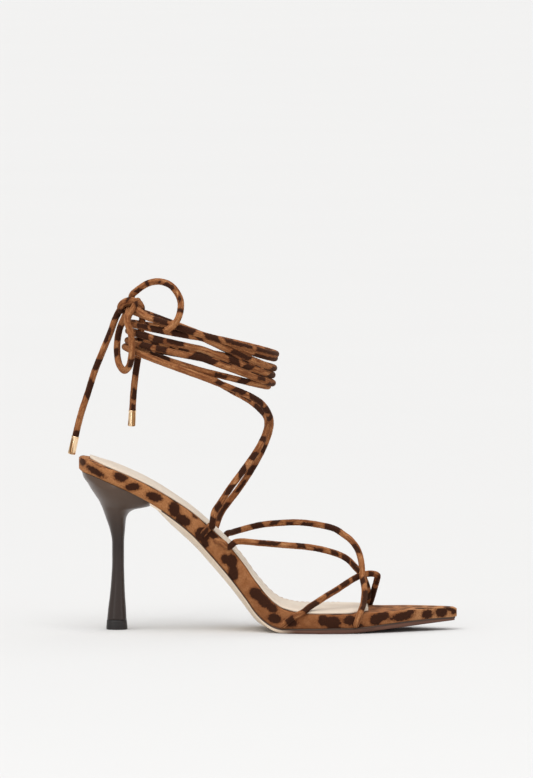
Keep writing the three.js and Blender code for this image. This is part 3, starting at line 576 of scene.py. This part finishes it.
class Nodes:
    """A material, with short calls for the nodes that the looks use."""

    def __init__(self, name):
        self.material = bpy.data.materials.new(name)
        self.material.use_nodes = True
        self.tree = self.material.node_tree
        self.shader = self.tree.nodes["Principled BSDF"]

    def feed(self, socket, value):
        """Links an output to a socket, or sets a constant on it."""
        if isinstance(value, bpy.types.NodeSocket):
            self.tree.links.new(value, socket)
        else:
            socket.default_value = value

    def add(self, kind, inputs=None, **settings):
        node = self.tree.nodes.new(kind)
        for key, value in settings.items():
            setattr(node, key, value)
        for key, value in (inputs or {}).items():
            self.feed(node.inputs[key], value)
        return node

    def math(self, operation, *values):
        return self.add("ShaderNodeMath", dict(enumerate(values)), operation=operation).outputs[0]

    def times(self, a, b):
        return self.math("MULTIPLY", a, b)

    def plus(self, a, b, share=1):
        """The first value with a share of the second."""
        return self.math("ADD", a, b if share == 1 else self.times(b, share))

    def vector(self, operation, inputs):
        return self.add("ShaderNodeVectorMath", inputs, operation=operation).outputs[0]

    def noise(self, vector, scale, detail=3.0, roughness=0.55, distortion=0.0):
        inputs = {"Vector": vector, "Scale": scale, "Detail": detail, "Roughness": roughness}
        return self.add("ShaderNodeTexNoise", inputs | {"Distortion": distortion}).outputs["Fac"]

    def place(self):
        """The object's own coordinates in metres."""
        return self.add("ShaderNodeTexCoord").outputs["Object"]

    def ramp(self, value, low, high):
        inputs = {"Value": value, "From Min": low, "From Max": high}
        return self.add("ShaderNodeMapRange", inputs, interpolation_type="SMOOTHSTEP").outputs["Result"]

    def mix(self, factor, a, b):
        return self.add("ShaderNodeMix", {0: factor, 6: a, 7: b}, data_type="RGBA").outputs[2]

    def clouded(self, value, colours, low=CLOUD_RANGE[0], high=CLOUD_RANGE[1]):
        """A pair's first colour where the value is low, its second where it is high."""
        return self.mix(self.ramp(value, low, high), *colours)

    def tint(self, ground, colour, share, value, low, high):
        """The ground with a share of a colour mixed in where the value is high."""
        return self.mix(self.times(self.ramp(value, low, high), share), ground, colour)

    def bump(self, height, strength, distance):
        inputs = {"Height": height, "Strength": strength, "Distance": distance}
        return self.add("ShaderNodeBump", inputs).outputs[0]

    def finish(self, colour, roughness, normal, **constants):
        inputs = {"Base_Color": colour, "Roughness": roughness, "Normal": normal} | constants
        for name, value in inputs.items():
            if value is not None:
                self.feed(self.shader.inputs[name.replace("_", " ")], value)
        return self.material


def suede(name, place, mottling, raggedness, shading=None, streaks=0.0):
    """The printed suede-like cloth: tan ground, chocolate spots with soft rusty rims, streaky nap."""
    nodes = Nodes(name)
    place = place(nodes)
    printed = nodes.add("ShaderNodeAttribute", attribute_name="print").outputs["Fac"]
    clouds = nodes.noise(place, 0.16)
    mottle = nodes.noise(place, 0.75, 4, 0.65)
    fibres = nodes.noise(place, 2.6, 4, 0.7, 0.4)
    nap = nodes.noise(place, 6.5, 3, 0.6)
    wobble = nodes.times(nodes.math("SUBTRACT", mottle, 0.5), 3.4 * raggedness)
    fine = nodes.times(nodes.math("SUBTRACT", fibres, 0.5), 1.6 * raggedness)
    edge = nodes.plus(nodes.plus(printed, wobble), fine)
    ground = nodes.clouded(clouds, (TAN, TAN_LIGHT), 0.38, 0.64)
    if shading:
        ground = shading(nodes, ground)
    if streaks:
        drawn = nodes.vector("MULTIPLY", {0: place, 1: (1, 1, 0.2)})
        streak = nodes.noise(drawn, 0.95, 4, 0.6)
        ground = nodes.tint(ground, RUST, streaks, streak, 0.5, 0.62)
        ground = nodes.tint(ground, TAN_BRIGHT, streaks, streak, 0.44, 0.3)
    ground = nodes.tint(ground, RUST, 0.75, fibres, 0.44, 0.66)
    ground = nodes.tint(ground, TAN_BRIGHT, 0.35, nap, 0.56, 0.72)
    ground = nodes.tint(ground, RUST, mottling, mottle, 0.5, 0.68)
    ground = nodes.tint(ground, RUST, 0.65, edge, -1.3, -0.1)  # the spots' soft rims
    dark = nodes.clouded(fibres, (CHOCOLATE, CHOCOLATE_WARM), 0.45, 0.72)
    colour = nodes.clouded(edge, (ground, dark), -0.22, 0.3)
    height = nodes.plus(nodes.times(fibres, 0.6), nap, 0.5)
    rough = nodes.plus(0.8, fibres, 0.16)
    return nodes.finish(
        colour, rough, nodes.bump(height, 0.75, 0.0003),
        Sheen_Weight=0.1, Sheen_Roughness=0.5, Sheen_Tint=(0.9, 0.5, 0.28, 1), Specular_IOR_Level=0.14,
    )


def cord_place(offset):
    """Coordinates round and along a cord in millimetres, its grain drawn out along it."""

    def place(nodes):
        uv = nodes.add("ShaderNodeUVMap", uv_map="UVMap").outputs[0]
        turn, gone = nodes.add("ShaderNodeSeparateXYZ", {"Vector": uv}).outputs[:2]
        angle = nodes.times(turn, 2 * math.pi)
        axes = {
            "X": nodes.times(nodes.math("COSINE", angle), CORD_GRAIN_RADIUS),
            "Y": nodes.times(nodes.math("SINE", angle), CORD_GRAIN_RADIUS),
            "Z": nodes.times(nodes.plus(gone, offset), CORD_GRAIN_STRETCH),
        }
        return nodes.add("ShaderNodeCombineXYZ", axes).outputs[0]

    return place


def board_shading(nodes, ground):
    """The board's ground is paler at the heel, deeper round the ball, and painted paler at the toe as a
    painted highlight.
    """
    along = nodes.add("ShaderNodeSeparateXYZ", {"Vector": nodes.place()}).outputs[0]
    ground = nodes.tint(ground, TAN_HEEL, 1.0, along, -0.02, -0.08)
    # painted highlight: the whole toe is painted paler, standing in for light falling on its top
    ground = nodes.tint(ground, TAN_BRIGHT, 0.6, along, 0.065, 0.1)
    ball = nodes.times(nodes.ramp(along, -0.03, 0.01), nodes.ramp(along, 0.075, 0.04))
    return nodes.mix(nodes.times(ball, 0.42), ground, RUST)


def object_place(nodes):
    """The object's own coordinates in millimetres."""
    return nodes.vector("SCALE", {0: nodes.place(), "Scale": 1 / MM})


def leather(name, colours, grain, roughness, bump, **constants):
    """Smooth leather or coated board with a fine grain and faint clouds."""
    nodes = Nodes(name)
    place = nodes.place()
    clouds = nodes.noise(place, 45, 4)
    cells = nodes.add("ShaderNodeTexVoronoi", {"Vector": place, "Scale": grain}, feature="SMOOTH_F1")
    pores = nodes.noise(place, grain * 2.2)
    shade = nodes.clouded(clouds, colours)
    height = nodes.plus(cells.outputs["Distance"], pores, 0.5)
    rough = nodes.plus(roughness, pores, 0.12)
    return nodes.finish(shade, rough, nodes.bump(height, bump, 0.0001), **constants)


def sole_cover():
    """The sole's smooth sheet: pale beige under the waist, its edge painted brown under the forefoot as
    painted shade.
    """
    nodes = Nodes("sole_sheet")
    place = nodes.place()
    along = nodes.add("ShaderNodeSeparateXYZ", {"Vector": place}).outputs[0]
    clouds = nodes.noise(place, 45, 4)
    grain = nodes.noise(place, 2600)
    tones = nodes.clouded(clouds, SOLE_PALE), nodes.clouded(clouds, SOLE_SHADE_BROWN)
    # painted shade: where the sole's edge turns brown under the forefoot, wobbled by the clouds
    shade_place = nodes.plus(along, clouds, 0.006)
    colour = nodes.clouded(shade_place, tones, *SOLE_SHADE_FADE)
    rough = nodes.plus(0.42, grain, 0.12)
    return nodes.finish(colour, rough, nodes.bump(grain, 0.2, 0.0001), Specular_IOR_Level=0.4)


def heel_coat():
    """Dark brown satin lacquer with a faint unevenness, painted paler up its flare as a painted reflection.
    """
    nodes = Nodes("heel_lacquer")
    place = nodes.place()
    clouds = nodes.noise(place, 30, 4)
    specks = nodes.noise(place, 900, 2)
    height = nodes.add("ShaderNodeSeparateXYZ", {"Vector": place}).outputs[2]
    # painted reflection: a paler brown mixed in up the heel's flare
    colour = nodes.clouded(height, (nodes.clouded(clouds, HEEL_LACQUER), HEEL_SHEEN_BROWN), *HEEL_SHEEN_RISE)
    rough = nodes.plus(0.3, clouds, 0.12)
    ripple = nodes.plus(clouds, specks, 0.12)
    return nodes.finish(
        colour, rough, nodes.bump(ripple, 0.12, 0.0004), Coat_Weight=0.2, Coat_Roughness=0.18,
        Specular_IOR_Level=0.28,
    )


def tip_lift_coat():
    """Matt black-brown plastic of the heel's walking surface, a little scuffed."""
    nodes = Nodes("heel_tip_plastic")
    place = nodes.place()
    scuffs = nodes.noise(place, 420, 5, 0.65, 1.2)
    colour = nodes.clouded(scuffs, LIFT_BLACK, 0.55, 0.75)
    return nodes.finish(colour, 0.5, nodes.bump(scuffs, 0.3, 0.0002))


def gold():
    """Polished pale gold with dark reflections drawn out along the tip."""
    nodes = Nodes("tip_gold")
    place = nodes.place()
    fine = nodes.noise(place, 1600, 2)
    drawn = nodes.vector("MULTIPLY", {0: place, 1: (1, 1, 0.03)})
    # painted reflections: dark bands in the gold's colour, drawn out along the tip
    reflection_bands = nodes.noise(drawn, 360, 1)
    colour = nodes.clouded(reflection_bands, GOLD, 0.38, 0.5)
    rough = nodes.plus(0.14, fine, 0.08)
    return nodes.finish(colour, rough, nodes.bump(fine, 0.05, 0.0001), Metallic=1.0)


def floor_paint():
    """Matt pale grey with very faint clouds."""
    nodes = Nodes("studio_floor")
    colour = nodes.mix(nodes.noise(nodes.place(), 2.5), *FLOOR_GREY)
    return nodes.finish(colour, 0.9, None, Specular_IOR_Level=0.0)


# The studio

def make_camera():
    """A lens whose picture has the photograph's scale at the shoe."""
    data = bpy.data.cameras.new("camera")
    focal_pixels = CAMERA_DISTANCE / METRES_PER_PIXEL
    data.sensor_width = SENSOR_MM
    data.lens = focal_pixels * SENSOR_MM / PICTURE_HEIGHT
    data.clip_start, data.clip_end = 0.1, 200
    camera = new_object("camera", data)
    camera.location = CAMERA_TARGET - VIEW * CAMERA_DISTANCE
    aim(camera, VIEW)
    bpy.context.scene.camera = camera


def make_light(name, kind, direction, power, **settings):
    """A light that points in a direction."""
    data = bpy.data.lights.new(name, kind)
    for key, value in settings.items():
        setattr(data, key, value)
    data.energy = power
    light = new_object(name, data)
    aim(light, direction)
    return light


def make_strip(name, location, width, power):
    """A tall narrow soft box that the gloss of the heel and of the metal tips picks up."""
    towards = SHOE_MIDDLE - Vector(location)
    light = make_light(name, "AREA", towards, power, shape="RECTANGLE", size=width, size_y=STRIP_HEIGHT)
    light.location = location


def make_studio():
    """An even pale world, two wide suns, two strips and the floor."""
    bpy.context.scene.view_settings.view_transform = "Standard"
    world = bpy.data.worlds.new("studio")
    world.use_nodes = True
    colour, strength = world.node_tree.nodes["Background"].inputs[:2]
    colour.default_value, strength.default_value = (1.0, 0.994, 0.985, 1), 0.62
    bpy.context.scene.world = world
    make_light("key", "SUN", direction=(0.25, 0.4, -1.3), power=2.15, angle=math.radians(62))
    make_light("rim", "SUN", direction=(-0.3, -0.9, -0.8), power=0.3, angle=math.radians(40))
    make_strip("strip_left", location=(-0.9, -2, 0.35), width=0.12, power=4.6)
    make_strip("strip_right", location=(1.5, -1.5, 0.35), width=0.16, power=3.4)
    mesh = bpy.data.meshes.new("floor")
    corners = [(x * FLOOR_REACH, y * FLOOR_REACH, 0) for x, y in ((-1, -1), (1, -1), (1, 1), (-1, 1))]
    mesh.from_pydata(corners, [], [(0, 1, 2, 3)])
    mesh.materials.append(floor_paint())
    floor = new_object("floor", mesh)


# The pieces

def board_ring(at):
    """A section of the board: domed top, soft edges, a side with a slight belly, flat underside."""
    top, low = at["top"], at["low"]
    side = top - low
    belly = min(0.55, 0.05 * side)
    dome = ((PROFILE_MIDDLE, 0.85), (11, 0.6), (6, 0.35), (2.6, 0.1))
    upper = ((1.3, 0.012), (0.5, 0.05), (0.05, 0.12), (-0.8 * belly, 0.25), (-belly, 0.42), (-belly, 0.58))
    lower = ((-0.7 * belly, 0.25), (0, 0.13), (0.35, 0.05), (1.1, 0.005), (2.4, 0), (PROFILE_MIDDLE, 0))
    return section(at, BOARD_INSET, [
        *((offset, top + share * FOOTBED_DOME) for offset, share in dome),
        *((offset, top - share * side) for offset, share in upper),
        *((offset, low + share * side) for offset, share in lower),
    ])


def spot_print(across, up, spots):
    """Millimetres inside the nearest dark spot, negative outside."""
    inside = -PRINT_LIMIT
    for x, y, long, high, tilt in spots:
        if abs(across - x) > long + PRINT_MARGIN:
            continue
        turn = math.radians(tilt)
        along = (across - x) * math.cos(turn) + (up - y) * math.sin(turn)
        beside = (up - y) * math.cos(turn) - (across - x) * math.sin(turn)
        inside = max(inside, (1 - math.hypot(along / long, beside / high)) * min(long, high))
    return min(inside, PRINT_LIMIT)


def scattered_spots():
    """Spots of the footbed in plan: an uneven grid over its whole length and width."""
    chance = random.Random(12)
    spots = []
    reach = SHOE_LENGTH / 2
    for column in range(int(SHOE_LENGTH / TOP_SPOT_SPACING) + 1):
        for row in range(-TOP_SPOT_ROWS, TOP_SPOT_ROWS + 1):
            x = -reach + (column + chance.uniform(-0.25, 0.25)) * TOP_SPOT_SPACING
            y = (row + 0.5 * (column % 2) + chance.uniform(-0.25, 0.25)) * TOP_SPOT_SPACING * 0.85
            long = chance.uniform(*TOP_SPOT_SIZES)
            spots.append((x, y, long, long * chance.uniform(0.45, 0.8), chance.uniform(-40, 40)))
    return spots


def board_print(ring, at, plan_spots, far_spots):
    """The print at each point of a section: charted on the near side, its own on the top and far side."""
    values = []
    for x, y, z in ring:
        if z > at["top"] - TOP_EDGE * (at["top"] - at["low"]):
            values.append(spot_print(x, y, plan_spots))
        else:
            values.append(spot_print(x, z, SIDE_SPOTS if y < 0 else far_spots))
    return values


def make_board():
    """The wrapped board, fine enough to carry its printed spots."""
    plan_spots = scattered_spots()
    ahead, lift = FAR_SPOT_SHIFT
    far_spots = [(x + ahead, up + lift, *shape) for x, up, *shape in SIDE_SPOTS]
    places = stations(*(share * SHOE_LENGTH for share in BOARD_REACH))
    edges = [[*zip(ring, ring[1:] + ring[:1])] for ring in map(board_ring, places)]
    counts = [
        max(max(math.ceil((Vector(a) - Vector(b)).length / BOARD_GRAIN) for a, b in pairs), 1)
        for pairs in zip(*edges)
    ]
    rings, printed = [], []
    for at, pairs in zip(places, edges):
        fine = []
        for (a, b), count in zip(pairs, counts):
            fine += [tuple(Vector(a).lerp(Vector(b), n / count)) for n in range(count)]
        rings.append(fine)
        printed += board_print(fine, at, plan_spots, far_spots)
    printed += [-PRINT_LIMIT, -PRINT_LIMIT]
    cloth = suede("board_cloth", object_place, mottling=0.3, raggedness=0.8, shading=board_shading)
    piece("wrapped_board_cloth", *loft(rings), cloth, ["wrapped_board"], "board_fabric", printed=printed)


def make_outsole():
    """The sole's sheet with its crown at the waist, from a little behind the breast to the toe."""
    rings, start = [], SOLE_BREAST - SOLE_LAP
    for at in stations(start, SOLE_END * SHOE_LENGTH):
        tread, ceiling = at["tread"], at["low"] - SEAM
        width = at["medial"] - at["lateral"] - 2 * SOLE_INSET
        fade = min((at["along"] - start) / BREAST_FADE, 1)

        def floor_at(offset):
            share = offset / width
            return (offset, tread - fade * at["crown"] * 4 * share * (1 - share))

        rings.append(section(at, SOLE_INSET - SOLE_SWELL, [
            (PROFILE_MIDDLE, ceiling),
            (0.3, ceiling),
            (0.05, tread + 0.75 * (ceiling - tread)),
            (0, tread + 0.4 * (ceiling - tread)),
            (0.25, tread + 0.12),
            *(floor_at(offset) for offset in (0.9, 2.5, 5, 8, 11.5, PROFILE_MIDDLE)),
        ]))
    piece("outsole_sheet", *loft(rings), sole_cover(), ["outsole"], "outsole")


def make_groove_shade():
    """The painted shadow of the groove between the wrapped board and the sole: a dark band from the waist to
    the toe.
    """
    rings = []
    for at in stations(SOLE_BREAST + GROOVE_SHADE_START, GROOVE_SHADE_END * SHOE_LENGTH):
        low = at["low"]
        rings.append(section(at, SOLE_INSET - GROOVE_SHADE_SWELL, [
            (PROFILE_MIDDLE, low + 0.3),
            (0.4, low + 0.3),
            (0, low - 0.15),
            (0.1, low - 0.5),
            (0.4, low - 0.7),
            (PROFILE_MIDDLE, low - 0.7),
        ]))
    cover = leather("groove_shade_dark", GROOVE_SHADE_BROWN, grain=1400, roughness=0.55, bump=0.4)
    piece("groove_shade", *loft(rings), cover, (), "outsole")


def make_sock():
    """The thin sock on the board, its rim rounded and its ends drawn in."""
    rim = ((PROFILE_MIDDLE, 1), (9, 0.97), (4.5, 0.87), (1.8, 0.66), (0.7, 0.45), (0.15, 0.2))
    rings = []
    for at in stations(SOCK_START, SOCK_END):
        ends = min(at["along"] - SOCK_START, SOCK_END - at["along"])
        pinch = SOCK_END_PINCH * (1 - min(ends / SOCK_END_LENGTH, 1)) ** 2
        base = at["top"] + FOOTBED_DOME
        rings.append(section(at, SOCK_INSET + pinch, [
            *((offset, base + share * SOCK_THICKNESS) for offset, share in rim),
            (0, base - 0.25 * FOOTBED_DOME),
            (0.4, base - 0.9 * FOOTBED_DOME),
            (PROFILE_MIDDLE, base - 0.3 * FOOTBED_DOME),
        ]))
    cover = leather("sock_leather", SOCK_BEIGE, grain=1300, roughness=0.5, bump=0.25, Specular_IOR_Level=0.35)
    piece("insole_sock_leather", *loft(rings), cover, ["insole_sock"], "sock")


def make_stitches():
    """The short stitches along the sock's medial rim, each a tiny cushion sunk into the leather."""
    points, faces = [], []
    distance, last = STITCH_RUN
    while distance < last:
        ends = []
        for row in (sole_at(distance), sole_at(distance + STITCH_LENGTH)):
            y = row["medial"] - SOCK_INSET - STITCH_INSET
            ends.append(Vector((row["x"], y, row["top"] + FOOTBED_DOME + STITCH_SEAT * SOCK_THICKNESS)))
        run = (ends[1] - ends[0]).normalized()
        across = Vector((0, 0, 1)).cross(run).normalized()
        up = run.cross(across)
        rings = []
        for share, swell in ((0, 0.25), (0.2, 0.85), (0.5, 1), (0.8, 0.85), (1, 0.25)):
            centre = ends[0].lerp(ends[1], share)
            rings.append(circle(centre, across, up, swell * STITCH_WIDTH / 2, STITCH_SIDES))
        more_points, more_faces = loft(rings)
        faces += [tuple(i + len(points) for i in face) for face in more_faces]
        points += more_points
        distance += STITCH_SPACING
    thread = leather("stitch_thread", THREAD, grain=4200, roughness=0.7, bump=0.5)
    piece("sock_stitches", points, faces, thread, (), "sock")


def heel_ring(height, grow=0.0):
    """The heel's rounded section at one height, grown outward on all sides."""
    row = row_at(HEEL_ROWS, height / HEEL_HEIGHT, "height")
    back = row["back"] * HEEL_SEAT_LENGTH - SHOE_LENGTH / 2 - grow
    front = row["front"] * HEEL_SEAT_LENGTH - SHOE_LENGTH / 2 + grow
    half = row["half"] * HEEL_SEAT_HALF_WIDTH + grow

    def rounded(value):
        return math.copysign(abs(value) ** HEEL_SQUARENESS, value)

    ring = []
    for n in range(HEEL_SIDES):
        angle = 2 * math.pi * n / HEEL_SIDES
        x = (front + back) / 2 + (front - back) / 2 * rounded(math.cos(angle))
        ring.append((x, half * rounded(math.sin(angle)), height))
    return ring


def make_heel():
    """The heel's smooth flare, trimmed by the underside of the board and the seat's outline."""
    rings, start = [], HEEL_TIP_HEIGHT + HEEL_TIP_GAP
    for n in range(HEEL_LEVELS + 1):
        height = start + (HEEL_HEIGHT - start) * n / HEEL_LEVELS
        gap = SEAM + TRIM_STEP * (HEEL_LEVELS - n)
        ring = []
        for x, y, z in heel_ring(height):
            at = sole_at(min(max(x + SHOE_LENGTH / 2, HEEL_BACK), SOLE_BREAST))
            y = min(max(y, at["lateral"] + SOLE_INSET), at["medial"] - SOLE_INSET)
            ring.append((at["x"], y, min(z, at["low"] - gap)))
        rings.append(ring)
    piece("heel_lacquered", *loft(rings), heel_coat(), ["heel"], "heel")


def make_heel_tip():
    """The top-lift with soft edges, a little wider than the heel."""
    top = HEEL_TIP_HEIGHT + 0.1
    levels = ((0, -0.35), (0.35, -0.05), (1.0, 0.05), (4.9, 0.12), (5.5, 0.05), (top, -0.25))
    rings = []
    for height, grow in levels:
        rings.append([(x, y, height) for x, y, _ in heel_ring(max(height, 0.01), grow)])
    piece("heel_tip_lift", *loft(rings), tip_lift_coat(), ["heel_tip"], "heel_tip")


def cord_piece(name, path, diameter, offset, replaces):
    """A soft printed cord along evenly spaced points. The offset gives it its own stretch of grain."""
    points, faces, uvs, printed = tube(path, diameter / 2, cord_bands(name, path))
    cloth = suede(name + "_cloth", cord_place(offset), mottling=0.7, raggedness=0.85, streaks=0.9)
    return piece(name, points, faces, cloth, replaces, "strap_fabric", uvs, printed)


def strap_routes():
    """Each strap from edge to edge of the board."""
    routes = {"far_waist": FAR_WAIST_STRAP, "near_waist": NEAR_WAIST_STRAP, "near_ball": NEAR_BALL_STRAP}
    return {
        "strap_" + name: anchor(name + "_start")[::-1] + route + anchor(name + "_end")
        for name, route in routes.items()
    }


def tie_routes():
    """Each tie from the board's edge, up and round the ankle, to the knot."""
    near = anchor("near_tie_start")[::-1] + NEAR_RISER + turns(FAR_FIRST_TURNS, 1, quarters=13)
    far = anchor("far_tie_start")[::-1] + FAR_RISER + turns(NEAR_FIRST_TURNS, -1, quarters=12.5)
    return {"tie_from_near_side": near + [KNOT_CENTRE], "tie_from_far_side": far + [KNOT_CENTRE]}


def make_tip(name, route, length, replaced):
    """A polished metal tip with a rolled rim at its mouth and a closed round end."""
    path = catmull(route, 1.0)
    direction = (path[-1] - path[-4]).normalized()
    start = path[-1] - direction * 0.2
    radius = TIP_DIAMETER / 2
    outline = [  # distance from the mouth, and how far the surface stands out
        (0.2, -0.5), (0, -0.12), (0.12, 0.02), (0.45, 0.06), (0.8, -0.02), (1.1, -0.1), (1.5, -0.08),
        (length / 2, -0.05), (length - 1.2, -0.02), (length - 0.8, 0.04), (length - 0.3, 0), (length, -0.3),
        (length + 0.15, -0.8), (length + 0.18, 0.2 - radius),
    ]
    side = direction.orthogonal().normalized()
    other = direction.cross(side)
    rings = [
        circle(start + direction * along, side, other, radius + out, TIP_SIDES) for along, out in outline
    ]
    return piece(name, *loft(rings), gold(), [replaced], "tip_metal")


def free_cord(name, route, node, offset):
    """A loop or an end of the bow outside the knot."""
    path = [p for p in catmull(route, CORD_STEP) if (p - Vector(KNOT_CENTRE)).length > KNOT_REACH]
    obj = cord_piece(name, path, TIE_DIAMETER, offset, [node])


def make_knot():
    """The knot's cord round the ends' meeting place, and the band over its front."""
    routes = ([Vector(KNOT_CENTRE) + Vector(p) for p in points] for points in (KNOT_TURNS, KNOT_BAND))
    turned, band = (catmull(route, CORD_STEP) for route in routes)
    return [
        cord_piece("knot_cord", turned, TIE_DIAMETER, 600, ["knot"]),
        cord_piece("knot_band", band, KNOT_BAND_DIAMETER, 640, ["knot"]),
    ]


def make_cords():
    """The free cords: the knot, the metal tips, and the bow's loops and ends."""
    knot = make_knot()
    long_tip = make_tip("tie_tip_long_gold", LONG_END, LONG_TIP_LENGTH, "tie_tip_long")
    short_tip = make_tip("tie_tip_short_gold", SHORT_END, SHORT_TIP_LENGTH, "tie_tip_short")
    free_cord("bow_loop_top_cord", TOP_LOOP, "bow_loop_top", 13)
    free_cord("bow_loop_hanging_cord", HANGING_LOOP, "bow_loop_hanging", 140)
    free_cord("tie_end_long_cord", LONG_END, "tie_end_long", 260)
    free_cord("tie_end_short_cord", SHORT_END, "tie_end_short", 420)


def make_straps_and_ties():
    """The cords that the shoe holds all the way."""
    for n, (name, route) in enumerate(strap_routes().items()):
        cord_piece(name, catmull(route, CORD_STEP), STRAP_DIAMETER, n * 173, ["upper_straps"])
    for n, (name, route) in enumerate(tie_routes().items()):
        cord_piece(name, catmull(route, CORD_STEP), TIE_DIAMETER, 519 + n * 211, ["ankle_ties"])


make_camera()
make_cords()
make_studio()
make_straps_and_ties()
make_board()
make_outsole()
make_groove_shade()
make_sock()
make_stitches()
make_heel()
make_heel_tip()
